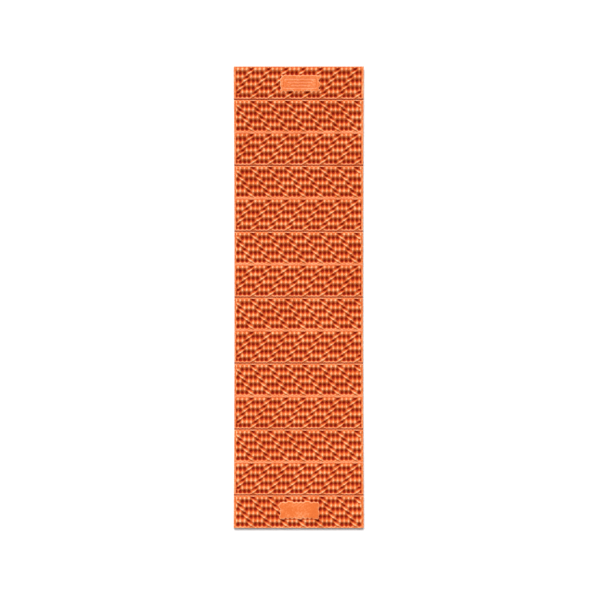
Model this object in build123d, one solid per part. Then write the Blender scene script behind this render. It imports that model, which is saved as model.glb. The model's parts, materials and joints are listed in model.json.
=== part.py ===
from build123d import *
import os

# Accordion-fold foam sleeping pad, laid out flat.  Millimetres, +Z up, +Y towards the head end.

# Driving dimensions
PAD_LENGTH = 1830.0
PAD_WIDTH = 510.0
PAD_THICKNESS = 23.0      # floor to the crest of a rib
PANEL_COUNT = 14
ROOT_PANEL = 7            # the panel every other panel is carried from

# The moulded sheet: two bonded foams and a reflective film, thickness measured vertically
UPPER_FOAM = 5.6
LOWER_FOAM = 3.2
FILM = 0.2

# Ribs moulded across every panel
ROWS = 8
ROW_PITCH = 15.1
CREST_FLAT = 6.0
END_FLAT = 4.0            # level border beside each crease

# Creases
SEAM_GAP = 1.4            # crease axis to the end face of a panel
NEST_GAP = 0.3            # clearance between two panels folded face to face
WEB_RADIUS = 1.0
WEB_TAB = 0.8             # height of the web where it runs into its panel

# Derived
PANEL_LENGTH = PAD_LENGTH / PANEL_COUNT
SHEET = UPPER_FOAM + LOWER_FOAM + FILM
RISE = (PAD_THICKNESS - SHEET) / 2
MID_Z = PAD_THICKNESS / 2
FIRST_ROW = (PANEL_LENGTH - (ROWS - 1) * ROW_PITCH) / 2


def head_y(panel):
    """Y of the head end of a panel, panels counted from 1 at the head of the pad."""
    return PAD_LENGTH / 2 - (panel - 1) * PANEL_LENGTH


def midline(panel):
    """Corners (y, z) of the sheet's mid line over one panel: crest, valley, crest and so on."""
    start = 0.0 if panel == 1 else SEAM_GAP
    stop = PANEL_LENGTH - (0.0 if panel == PANEL_COUNT else SEAM_GAP)
    corners = [(start, 0.0), (END_FLAT, 0.0)]
    for row in range(ROWS):
        centre = FIRST_ROW + row * ROW_PITCH
        height = RISE if row % 2 == 0 else -RISE
        corners += [(centre - CREST_FLAT / 2, height), (centre + CREST_FLAT / 2, height)]
    corners += [(PANEL_LENGTH - END_FLAT, 0.0), (stop, 0.0)]
    return [(head_y(panel) - u, MID_Z + h) for u, h in corners]


def across(profile):
    """A profile in the YZ plane carried across the full width of the pad."""
    return extrude(Plane.YZ * profile, PAD_WIDTH / 2, both=True)


def layer(panel, bottom, top):
    """One layer of one panel, between two heights measured from the sheet's mid line."""
    line = midline(panel)
    upper = [(y, z + top) for y, z in line]
    lower = [(y, z + bottom) for y, z in reversed(line)]
    return across(make_face(Polyline(*upper, *lower, close=True)))


def hinge_web(seam):
    """The crushed web of foam under (odd seams) or over (even seams) the slit between two panels.

    It is a roll about the crease's axis, cut off level with the face of the sheet that it carries
    on, and a tab that joins it to the end of the panel nearer the root."""
    inwards = 1 if seam % 2 else -1
    towards_parent = 1 if seam >= ROOT_PANEL else -1
    y = head_y(seam + 1)
    face_z = MID_Z - inwards * SHEET / 2
    axis_z = face_z - inwards * NEST_GAP / 2
    roll = Pos(y, axis_z) * Circle(WEB_RADIUS)
    kept = Pos(y, face_z + inwards * WEB_RADIUS) * Rectangle(2 * WEB_RADIUS, 2 * WEB_RADIUS)
    tab_y = y + towards_parent * SEAM_GAP / 2
    tab = Pos(tab_y, face_z + inwards * WEB_TAB / 2) * Rectangle(SEAM_GAP, WEB_TAB)
    return across(roll & kept) + across(tab)


def save(shape, name):
    shape.label = name
    export_step(shape, os.path.join("parts", name + ".step"))


def main():
    os.makedirs("parts", exist_ok=True)
    film_top = -SHEET / 2 + FILM
    foam_joint = film_top + LOWER_FOAM
    for panel in range(1, PANEL_COUNT + 1):
        save(layer(panel, -SHEET / 2, film_top), f"reflective_film_{panel:02d}")
        save(layer(panel, film_top, foam_joint), f"lower_foam_{panel:02d}")
        save(layer(panel, foam_joint, SHEET / 2), f"upper_foam_{panel:02d}")
    for seam in range(1, PANEL_COUNT):
        save(hinge_web(seam), f"hinge_web_{seam:02d}_{seam + 1:02d}")


main()
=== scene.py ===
import json
import math

import bpy
import numpy as np
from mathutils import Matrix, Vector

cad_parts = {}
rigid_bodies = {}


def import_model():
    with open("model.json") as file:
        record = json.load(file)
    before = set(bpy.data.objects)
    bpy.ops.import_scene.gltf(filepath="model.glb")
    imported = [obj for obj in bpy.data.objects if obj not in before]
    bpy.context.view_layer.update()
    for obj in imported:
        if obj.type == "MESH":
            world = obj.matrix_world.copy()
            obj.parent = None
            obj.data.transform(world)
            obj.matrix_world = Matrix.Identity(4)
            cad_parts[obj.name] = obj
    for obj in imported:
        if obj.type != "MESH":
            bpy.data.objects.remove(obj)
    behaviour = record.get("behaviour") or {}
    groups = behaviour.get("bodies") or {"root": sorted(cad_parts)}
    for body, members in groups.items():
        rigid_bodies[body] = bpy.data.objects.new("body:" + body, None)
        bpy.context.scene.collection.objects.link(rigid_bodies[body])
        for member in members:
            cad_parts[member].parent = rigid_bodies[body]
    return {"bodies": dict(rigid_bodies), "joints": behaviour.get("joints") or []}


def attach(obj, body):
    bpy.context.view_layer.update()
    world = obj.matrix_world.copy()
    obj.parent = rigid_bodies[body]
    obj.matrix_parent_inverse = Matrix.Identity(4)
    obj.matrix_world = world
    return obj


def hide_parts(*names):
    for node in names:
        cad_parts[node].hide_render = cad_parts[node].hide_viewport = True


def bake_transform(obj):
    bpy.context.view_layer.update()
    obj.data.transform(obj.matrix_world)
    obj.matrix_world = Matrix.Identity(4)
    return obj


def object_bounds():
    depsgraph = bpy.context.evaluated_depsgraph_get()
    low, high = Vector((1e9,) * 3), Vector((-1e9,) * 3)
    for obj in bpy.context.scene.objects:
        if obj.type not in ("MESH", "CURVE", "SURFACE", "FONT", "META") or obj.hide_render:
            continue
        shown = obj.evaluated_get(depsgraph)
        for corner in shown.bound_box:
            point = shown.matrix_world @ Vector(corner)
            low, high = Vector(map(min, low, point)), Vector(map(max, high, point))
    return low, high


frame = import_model()
cad_low, cad_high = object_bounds()

MM = 0.001

# The pad, from the frame (millimetres from here on)
HALF_WIDTH = (cad_high.x - cad_low.x) / 2 / MM
HALF_LENGTH = (cad_high.y - cad_low.y) / 2 / MM
THICKNESS = (cad_high.z - cad_low.z) / MM
MID_Z = THICKNESS / 2
PANELS = len(frame["bodies"])
PANEL_LENGTH = 2 * HALF_LENGTH / PANELS

# The moulded sheet
RISE = 7.0                # how far bumps and hollows leave the sheet's middle
HALF_SHEET = 4.3          # half the sheet's thickness, measured vertically
FOAM_JOINT = -1.0         # height of the bond between the two foams, from the sheet's middle
FILM = 0.2
RIM = 8.0                 # plain border along both long sides
RIM_REACH = 3.5           # how far the relief runs into that border
RIM_SLOPE = 6.0           # over which it fades
CREASE_BAND = 4.5         # plain border along every crease
BAND_REACH = 1.0
BAND_SLOPE = 5.0
FLARE = 3.2               # how far the long sides stand out at the head and the foot
FLARED_RIM = 1.4 * RIM    # how much of the width next to a long side is stretched for that

# The lattice of bumps and hollows
ROWS = 8
ROW_PITCH = 15.1
COLUMN_PITCH = 17.15
FIRST_ROW = (PANEL_LENGTH - (ROWS - 1) * ROW_PITCH) / 2
BUMP_COLUMNS = 29         # a row of hollows has one fewer
TURNED_STEP = 4           # every fourth site of a row is turned over
ROW_SHARE = 0.65          # how much of the relief comes from the rows; the rest is from the columns
TURNED_SIZE = 4.6         # how far a turned site reaches
RIDGE_SIZE = (9.0, 3.1)   # how far the thin ridge or groove through it reaches, along and across
RIDGE_SHARE = 0.25
DIAGONAL = math.atan2(ROW_PITCH, 1.5 * COLUMN_PITCH)
OPEN_END = 0.35           # how much deeper, as relief, hollows make the border at the pad's ends
PRESSED = 5.0             # how much thinner the sheet is in a hollow of the top than on a bump
PRESSED_POWER = 1.5       # how quickly it gets thinner towards the middle of the hollow
BOND_SHARE = 0.4          # how much of that the bond between the foams takes part in

# The raised plates of the two end panels: middle across the pad, head side, foot side
PLATES = {1: (5.5, 36.0, 98.0), PANELS: (2.0, 24.5, 92.5)}
PLATE_HALF_WIDTH = 77.5
PLATE_CORNER = 6.0
PLATE_EDGE = 4.0          # how wide the slope round a plate is
FOOT_SLOPE = 12.0         # and how wide it is on the plate's foot side
SCALLOP = 3.0             # how far a plate's edge follows the bumps and hollows beside it
PLATE_DROP = 3.0          # how far the slope falls, as relief: it ends below every hollow
MARKED = 1                # the panel whose plate has a plain pressed-in frame with two bars
MARK_BORDER = 13.0
MARK_DEPTH = 1.1
MARK_LINE = 1.8           # half the width of a pressed line
BARS = ((48.0, -6.0), (34.0, 6.0))   # half length, offset from the plate's middle

# Creases
END_GAP = 1.3             # crease to the end of a panel where the web is
SLIT_GAP = 2.8            # crease to the end of a panel on its open side
EDGE_ROUND = 2.6          # width of the rounding along outer edges
EDGE_DROP = 1.6           # and its depth
WEB_THICKNESS = 1.0
WEB_DENT = 0.12           # depth of the dents in the crushed foam
WEB_WAVES = (0.9, 0.37)   # radians per millimetre of the two waves that make the dents

# The foam's colour runs from painted shade (0) over plain to painted highlight
PLAIN_SHADE = 0.50
PAINTED_HIGHLIGHT_STOP = 0.76
DEEPEST, SHALLOW = 3.6, 16.6   # heights between which painted shade in the hollows fades to the plain colour
CURL = 0.08                    # how far from flat (0.5) the roundness of a full crest or hollow is
CREST_PAINTED_LIGHT = 0.3              # how much painted highlight a crest gets, and how much painted shade a hollow gets
FOAM_SPECULAR = 0.22

# Grid steps: (along the panel, across it)
TOP = (90, 360)
BOTTOM = (60, 240)
BOND = (30, 120)
WEB = (8, 120)

# Studio
WORLD_LIGHT = 0.15
FLOOR_SIZE = 40           # metres
CAMERA_DISTANCE = 7.0     # metres
CAMERA_SPOT = (0.005, -0.011)
VIEW_SHARE = 1.3          # height of the picture as a multiple of the pad's length
SENSOR = 36


# --- the height field ---------------------------------------------------------------------------

def is_dark(seam):
    """Odd creases open upwards, with their web at the bottom; even ones have it at the top."""
    return seam % 2 == 1


def turned_sites():
    """Sites (x, u, change) of an odd panel where a bump gives way to a hollow or a hollow to a bump.

    The turned sites start one column further left in each pair of rows, which makes the diagonal
    lines."""
    sites = []
    for row in range(ROWS):
        bumps = row % 2 == 0
        count = BUMP_COLUMNS if bumps else BUMP_COLUMNS - 1
        first = ((3 if bumps else 2) - row // 2) % TURNED_STEP
        u = FIRST_ROW + row * ROW_PITCH
        for k in range(first, count, TURNED_STEP):
            sites.append(((k - (count - 1) / 2) * COLUMN_PITCH, u, -2 if bumps else 2))
    return sites


def smoothstep(t):
    """A soft step from 0 to 1."""
    t = np.clip(t, 0, 1)
    return t * t * (3 - 2 * t)


def hump(along, across):
    """A soft round hump of height 1."""
    return np.exp(-(along ** 2 + across ** 2) / 2)


def odd_relief(x, u):
    """Relief of an odd panel, from -1 to 1, at x across the pad and u down from the panel's head end.

    Rows of bumps and rows of hollows alternate, each half a column along from the last."""
    rows = np.cos(np.pi * (u - FIRST_ROW) / ROW_PITCH)
    columns = np.cos(2 * np.pi * x / COLUMN_PITCH)
    height = ROW_SHARE * rows + (1 - ROW_SHARE) * columns
    for px, pu, change in turned_sites():
        along = (x - px) * math.cos(DIAGONAL) - (u - pu) * math.sin(DIAGONAL)
        across = (x - px) * math.sin(DIAGONAL) + (u - pu) * math.cos(DIAGONAL)
        height += change * (1 - RIDGE_SHARE) * hump(along / TURNED_SIZE, across / TURNED_SIZE)
        height += change * RIDGE_SHARE * hump(along / RIDGE_SIZE[0], across / RIDGE_SIZE[1])
    return np.clip(height, -1, 1)


def plain_borders(x, u):
    """1 over the patterned part of a panel, falling to 0 in its plain borders."""
    ends = smoothstep((np.minimum(u, PANEL_LENGTH - u) - CREASE_BAND + BAND_REACH) / BAND_SLOPE)
    return ends * plain_rims(x)


def plain_rims(x):
    return smoothstep((HALF_WIDTH - RIM + RIM_REACH - np.abs(x)) / RIM_SLOPE)


def at_pad_end(panel, u):
    """True in the half of an end panel that lies along the head or foot of the pad."""
    if panel == 1:
        return u < PANEL_LENGTH / 2
    return (u > PANEL_LENGTH / 2) & (panel == PANELS)


def grid(steps, first_u, last_u):
    """Flat grid of a panel: x across, u along, rows from the head end to the foot end."""
    u = np.linspace(first_u, last_u, steps[0] + 1)
    x = np.linspace(-HALF_WIDTH, HALF_WIDTH, steps[1] + 1)
    return np.meshgrid(x, u)


def whole_relief(panel, x, u):
    """An even panel is an odd one turned end for end and upside down, so that neighbours nest."""
    return odd_relief(x, u) if panel % 2 else -odd_relief(x, PANEL_LENGTH - u)


def relief(panel, x, u):
    return whole_relief(panel, x, u) * plain_borders(x, u)


def with_open_end(panel, x, u, height):
    """At the head and foot of the pad, the top's hollows run on into the border."""
    hollows = np.minimum(whole_relief(panel, x, u), 0) * plain_rims(x)
    opened = np.maximum(np.minimum(height, hollows), height - OPEN_END)
    return np.where(at_pad_end(panel, u) & (height <= 0), opened, height)


def inside_box(x, u, half_width, span, corner):
    """Distance in from the edge of a rounded rectangle; negative outside it."""
    middle, half_height = sum(span) / 2, (span[1] - span[0]) / 2
    dx = np.abs(x) - half_width + corner
    du = np.abs(u - middle) - half_height + corner
    outside = np.hypot(np.maximum(dx, 0), np.maximum(du, 0))
    return corner - outside - np.minimum(np.maximum(dx, du), 0)


def with_plate(panel, x, u, height):
    """The relief of a panel's top with the flat raised plate of the two end panels."""
    if panel not in PLATES:
        return height
    middle, head, foot = PLATES[panel]
    inside = inside_box(x - middle, u, PLATE_HALF_WIDTH, (head, foot), PLATE_CORNER)
    wide = np.where(u > foot - PLATE_CORNER, FOOT_SLOPE, PLATE_EDGE)
    level = 1 - PLATE_DROP * (1 - smoothstep((inside + SCALLOP * height) / wide + 1))
    return np.maximum(height, level) - mark(panel, x, u) / RISE


def mark(panel, x, u):
    """Depth of the lines pressed into a plate."""
    if panel != MARKED:
        return 0
    middle, head, foot = PLATES[panel]
    span = (head + MARK_BORDER, foot - MARK_BORDER)
    lines = np.abs(inside_box(x - middle, u, PLATE_HALF_WIDTH - MARK_BORDER, span, PLATE_CORNER))
    for half_length, offset in BARS:
        beyond = np.maximum(np.abs(x - middle) - half_length, 0)
        lines = np.minimum(lines, np.hypot(beyond, u - (head + foot) / 2 - offset))
    return MARK_DEPTH * hump(lines / MARK_LINE, 0)


def rounding(distance):
    """How far a face drops towards an edge that is this far away."""
    return EDGE_DROP * np.clip(1 - distance / EDGE_ROUND, 0, 1) ** 2


def ends_of(panel, side):
    """Where a face (side 1: top, -1: bottom) of a panel starts and stops."""
    gaps = []
    for seam in (panel - 1, panel):
        if seam in (0, PANELS):
            gaps.append(0.0)
        else:
            opens = 1 if is_dark(seam) else -1
            gaps.append(SLIT_GAP if opens == side else END_GAP)
    return gaps[0], PANEL_LENGTH - gaps[1]


def face_drop(panel, side, x, u):
    """Rounding of a face's outer edges, all but the one where a web carries on level with it."""
    drop = rounding(HALF_WIDTH - np.abs(x))
    for seam, distance in ((panel - 1, u - u.min()), (panel, u.max() - u)):
        opens = 1 if is_dark(seam) else -1
        if seam in (0, PANELS) or opens == side:
            drop = np.maximum(drop, rounding(distance))
    return drop


def flared(x, y):
    """The pad is a little wider at its head and foot than in the middle, all of it in the plain rims."""
    outward = smoothstep((np.abs(x) - HALF_WIDTH + FLARED_RIM) / FLARED_RIM)
    return x + np.sign(x) * outward * FLARE * (y / HALF_LENGTH) ** 2


def placed(panel, x, u, z):
    """Panel coordinates to points in the frame, in metres, as a grid of (x, y, z)."""
    y = HALF_LENGTH - (panel - 1) * PANEL_LENGTH - u
    return np.stack([flared(x, y), y, z], -1) * MM


# --- meshes ------------------------------------------------------------------------------------

def ring(rows, columns):
    """Indices of a grid's outer vertices, in order round it."""
    index = np.arange(rows * columns).reshape(rows, columns)
    return np.concatenate([index[0, :-1], index[:-1, -1], index[-1, :0:-1], index[:0:-1, 0]])


def quads(rows, columns, first):
    """Faces of a grid whose vertices start at this index."""
    index = first + np.arange(rows * columns).reshape(rows, columns)
    corners = [index[:-1, :-1], index[1:, :-1], index[1:, 1:], index[:-1, 1:]]
    return np.stack(corners, -1).reshape(-1, 4)


def slab(name, top, bottom):
    """A closed piece between two grids of points; one grid may be a whole number of times finer."""
    rows, columns = top.shape[:2]
    low_rows, low_columns = bottom.shape[:2]
    base = rows * columns
    faces = quads(rows, columns, 0).tolist()
    faces += quads(low_rows, low_columns, base)[:, ::-1].tolist()
    smooth_faces = len(faces)
    upper = ring(rows, columns)
    lower = ring(low_rows, low_columns) + base
    sections = min(len(upper), len(lower))
    up_step, low_step = len(upper) // sections, len(lower) // sections
    for i in range(sections):
        up = [upper[(i * up_step + j) % len(upper)] for j in range(up_step + 1)]
        low = [lower[(i * low_step + j) % len(lower)] for j in range(low_step + 1)]
        faces.append([int(v) for v in up + low[::-1]])
    mesh = bpy.data.meshes.new(name)
    points = np.concatenate([top.reshape(-1, 3), bottom.reshape(-1, 3)])
    mesh.from_pydata(points.tolist(), [], faces)
    mesh.polygons.foreach_set("use_smooth", np.arange(len(faces)) < smooth_faces)
    mesh.update()
    piece = bpy.data.objects.new(name, mesh)
    bpy.context.scene.collection.objects.link(piece)
    return piece


# --- materials ----------------------------------------------------------------------------------

def srgb(r, g, b):
    """A colour given as 0 to 255 sRGB, as the shader's linear values."""
    linear = [(c / 255 / 12.92) if c <= 10 else ((c / 255 + 0.055) / 1.055) ** 2.4 for c in (r, g, b)]
    return (*linear, 1)


class Nodes:
    """A material and short calls that add its nodes."""

    def __init__(self, name):
        self.material = bpy.data.materials.new(name)
        self.material.use_nodes = True
        self.tree = self.material.node_tree
        self.shader = self.tree.nodes["Principled BSDF"]
        self.place = self.add("ShaderNodeTexCoord").outputs["Object"]

    def add(self, kind, **settings):
        """A new node; a setting is one of its sockets or else one of its properties."""
        node = self.tree.nodes.new(kind)
        for key, value in settings.items():
            if key in node.inputs:
                node.inputs[key].default_value = value
            else:
                setattr(node, key, value)
        return node

    def link(self, source, target):
        self.tree.links.new(source, target)

    def noise(self, size, detail=3.0):
        """Noise with features of this size in millimetres."""
        node = self.add("ShaderNodeTexNoise", Scale=1 / (size * MM), Detail=detail)
        self.link(self.place, node.inputs["Vector"])
        return node.outputs["Fac"]

    def cells(self, size):
        """Rounded cells of this size in millimetres."""
        node = self.add("ShaderNodeTexVoronoi", Scale=1 / (size * MM))
        self.link(self.place, node.inputs["Vector"])
        return node.outputs["Distance"]

    def ramp(self, source, *stops):
        """Colours by the source's value, as stops of (value, colour)."""
        node = self.add("ShaderNodeValToRGB")
        elements = node.color_ramp.elements
        while len(elements) < len(stops):
            elements.new(0.5)
        for element, (position, colour) in zip(elements, stops):
            element.position = position
            element.color = colour
        self.link(source, node.inputs["Fac"])
        return node.outputs["Color"]

    def grey(self, source, low, high, dark=0.0, light=1.0):
        """The source stretched so that low becomes dark and high becomes light."""
        node = self.add("ShaderNodeMapRange", clamp=True)
        for key, value in (("From Min", low), ("From Max", high), ("To Min", dark), ("To Max", light)):
            node.inputs[key].default_value = value
        self.link(source, node.inputs["Value"])
        return node.outputs["Result"]

    def total(self, first, second):
        node = self.add("ShaderNodeMath", operation="ADD")
        self.link(first, node.inputs[0])
        self.link(second, node.inputs[1])
        return node.outputs[0]

    def bump(self, height, depth, under=None):
        """Bump of this depth in millimetres, on top of another."""
        node = self.add("ShaderNodeBump", Strength=1.0, Distance=depth * MM)
        self.link(height, node.inputs["Height"])
        if under:
            self.link(under, node.inputs["Normal"])
        return node.outputs["Normal"]

    def height(self):
        """Height above the pad's underside, in metres."""
        node = self.add("ShaderNodeSeparateXYZ")
        self.link(self.place, node.inputs[0])
        return node.outputs["Z"]

    def roundness(self):
        """0.5 on a flat face, more on a crest and less in a hollow."""
        return self.add("ShaderNodeNewGeometry").outputs["Pointiness"]


def foam(name, main, painted_shade_colour, painted_highlight_colour, roughness):
    """Skin of a closed-cell foam: painted shade in the hollows, darker the lower and the more concave a
    face is, and painted highlight on every crest; cloudy, speckled and scuffed, with fine cells and a
    satin surface that is duller in the hollows."""
    m = Nodes(name)
    # Painted highlight on convex crest tops and painted shade in concave hollows, from the mesh's
    # pointiness
    crest_light_and_hollow_shade = m.grey(m.roundness(), 0.5 - CURL, 0.5 + CURL, -CREST_PAINTED_LIGHT, CREST_PAINTED_LIGHT)
    # Painted shade: the lower the face lies, the darker its colour
    depth = m.grey(m.height(), DEEPEST * MM, SHALLOW * MM, 0.0, PLAIN_SHADE)
    cloudy = m.grey(m.noise(45), 0.3, 0.7, -0.05, 0.05)
    speckle = m.grey(m.noise(1.1, 2), 0.3, 0.7, -0.04, 0.04)
    scuff = m.grey(m.noise(7, 6), 0.4, 0.7, -0.04, 0.05)
    shade = m.total(m.total(depth, crest_light_and_hollow_shade), m.total(cloudy, m.total(speckle, scuff)))
    # The plain colour, with painted shade towards 0 and painted highlight towards the top stop
    skin = m.ramp(shade, (0.0, painted_shade_colour), (PLAIN_SHADE, main), (PAINTED_HIGHLIGHT_STOP, painted_highlight_colour))
    m.link(skin, m.shader.inputs["Base Color"])
    smudges = m.grey(m.noise(12, 5), 0.3, 0.7, roughness + 0.2, roughness + 0.35)
    gloss = m.grey(depth, 0.1, PLAIN_SHADE, 0.0, -0.27)
    m.link(m.total(smudges, gloss), m.shader.inputs["Roughness"])
    cells = m.bump(m.cells(0.9), 0.10)
    m.link(m.bump(m.noise(5, 4), 0.25, cells), m.shader.inputs["Normal"])
    m.shader.inputs["Specular IOR Level"].default_value = FOAM_SPECULAR
    return m.material


def film_skin():
    """Metallised film, crinkled from being pressed over the relief."""
    m = Nodes("metallised_film")
    tint = m.ramp(m.noise(30), (0.3, srgb(196, 198, 202)), (0.7, srgb(226, 227, 230)))
    m.link(tint, m.shader.inputs["Base Color"])
    m.shader.inputs["Metallic"].default_value = 0.9
    m.link(m.grey(m.noise(8, 5), 0.3, 0.7, 0.28, 0.46), m.shader.inputs["Roughness"])
    creases = m.bump(m.cells(6), 0.5)
    m.link(m.bump(m.noise(2.2, 5), 0.25, creases), m.shader.inputs["Normal"])
    return m.material


# Each foam: plain colour, painted shade colour for the hollows, painted highlight colour for the crest
# tops, roughness
ORANGE = foam("orange_foam", srgb(223, 111, 47), srgb(154, 20, 0), srgb(255, 196, 148), 0.40)
DEEP_ORANGE = foam("lower_foam", srgb(214, 88, 40), srgb(198, 74, 32), srgb(226, 110, 60), 0.62)
FILM_SKIN = film_skin()
WEB_FOAM = foam("crushed_foam", srgb(206, 84, 28), srgb(130, 20, 4), srgb(240, 130, 76), 0.45)


# --- the panels ---------------------------------------------------------------------------------

def body_name(panel):
    return f"panel_{panel:02d}"


def pressed(x, u, height):
    """How much lower the top is than the underside's relief makes it: the mould presses it thinner away
    from the bumps."""
    return PRESSED * plain_borders(x, u) * ((1 - height) / 2) ** PRESSED_POWER


def surface(panel, side, steps, offset):
    """A face of the sheet, following the top (side 1) or bottom (side -1) outline of the panel."""
    x, u = grid(steps, *ends_of(panel, side))
    height = relief(panel, x, u)
    if side > 0:
        height = with_open_end(panel, x, u, height) - pressed(x, u, height) / RISE
        height = with_plate(panel, x, u, height)
    z = MID_Z + RISE * height + offset - side * face_drop(panel, side, x, u)
    return x, u, z


def bond(panel):
    """The hidden face between the two foams, coarser and without rounding."""
    top_ends, bottom_ends = ends_of(panel, 1), ends_of(panel, -1)
    first, last = ((a + b) / 2 for a, b in zip(top_ends, bottom_ends))
    x, u = grid(BOND, first, last)
    height = relief(panel, x, u)
    z = MID_Z + RISE * height + FOAM_JOINT - BOND_SHARE * pressed(x, u, height)
    return placed(panel, x, u, z)


def make_panel(panel):
    body = body_name(panel)
    x, u, z = surface(panel, 1, TOP, HALF_SHEET)
    top = placed(panel, x, u, z)
    bonded = bond(panel)
    x, u, z = surface(panel, -1, BOTTOM, -HALF_SHEET + FILM)
    film_top = placed(panel, x, u, z)
    film_bottom = placed(panel, x, u, z - FILM)
    upper = slab(f"foam_top_{panel:02d}", top, bonded)
    lower = slab(f"foam_base_{panel:02d}", bonded, film_top)
    film = slab(f"film_{panel:02d}", film_top, film_bottom)
    for piece, kind, material in ((upper, "upper_foam", ORANGE), (lower, "lower_foam", DEEP_ORANGE),
                                  (film, "reflective_film", FILM_SKIN)):
        piece.data.materials.append(material)
        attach(piece, body)
        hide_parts(f"{kind}_{panel:02d}")


def make_web(joint):
    """The strip of crushed foam that a crease bends in, level with the face on its closed side."""
    seam = min(int(joint["parent"][-2:]), int(joint["child"][-2:]))
    y = joint["pos_m"][1] / MM
    if is_dark(seam):
        low = MID_Z - HALF_SHEET
    else:
        low = MID_Z + HALF_SHEET - WEB_THICKNESS
    x, s = np.meshgrid(np.linspace(-HALF_WIDTH, HALF_WIDTH, WEB[1] + 1),
                       np.linspace(END_GAP, -END_GAP, WEB[0] + 1))
    x = flared(x, y)
    waves = np.sin(x * WEB_WAVES[0]) * np.sin(x * WEB_WAVES[1] + 1)
    dent = WEB_DENT * waves * (1 - (s / END_GAP) ** 2)
    top = np.stack([x, y + s, low + WEB_THICKNESS + dent * is_dark(seam)], -1) * MM
    bottom = np.stack([x, y + s, low + dent * (not is_dark(seam))], -1) * MM
    name = f"{seam:02d}_{seam + 1:02d}"
    web = slab("web_" + name, top, bottom)
    web.data.materials.append(WEB_FOAM)
    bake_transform(web)
    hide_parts("hinge_web_" + name)


for number in range(1, PANELS + 1):
    make_panel(number)
for hinge in frame["joints"]:
    make_web(hinge)


# --- floor, light and camera ----------------------------------------------------------------------

def make_floor():
    bpy.ops.mesh.primitive_plane_add(size=FLOOR_SIZE, location=(0, 0, 0))
    floor = bpy.context.object
    floor.name = "floor"
    m = Nodes("floor_paint")
    paint = m.ramp(m.noise(400), (0.3, srgb(240, 240, 240)), (0.7, srgb(244, 244, 244)))
    m.link(paint, m.shader.inputs["Base Color"])
    m.shader.inputs["Roughness"].default_value = 0.9
    floor.data.materials.append(m.material)


def make_sun(name, energy, spread, tilt, turn):
    """A sun lamp with its angles in degrees: how soft it is, and how it leans and is turned."""
    sun = bpy.data.lights.new(name, "SUN")
    sun.energy = energy
    sun.angle = math.radians(spread)
    lamp = bpy.data.objects.new(name, sun)
    lamp.rotation_euler = (math.radians(tilt), 0, math.radians(turn))
    bpy.context.scene.collection.objects.link(lamp)


def make_light():
    """A soft key from beyond the head, a weak fill from the foot and one from below."""
    make_sun("key", energy=4.0, spread=34, tilt=-37, turn=8)
    make_sun("fill", energy=0.6, spread=80, tilt=45, turn=-20)
    make_sun("underside", energy=1.6, spread=60, tilt=155, turn=10)
    world = bpy.data.worlds.new("studio")
    world.use_nodes = True
    background = world.node_tree.nodes["Background"]
    background.inputs["Color"].default_value = (1, 1, 1, 1)
    background.inputs["Strength"].default_value = WORLD_LIGHT
    bpy.context.scene.world = world


def make_camera():
    """Straight above the pad, looking down."""
    data = bpy.data.cameras.new("camera")
    data.sensor_width = SENSOR
    data.lens = SENSOR * CAMERA_DISTANCE / (VIEW_SHARE * 2 * HALF_LENGTH * MM)
    data.clip_end = 100
    camera = bpy.data.objects.new("camera", data)
    camera.location = (*CAMERA_SPOT, CAMERA_DISTANCE + MID_Z * MM)
    bpy.context.scene.collection.objects.link(camera)
    bpy.context.scene.camera = camera


make_floor()
make_light()
make_camera()
bpy.context.scene.view_settings.view_transform = "Standard"
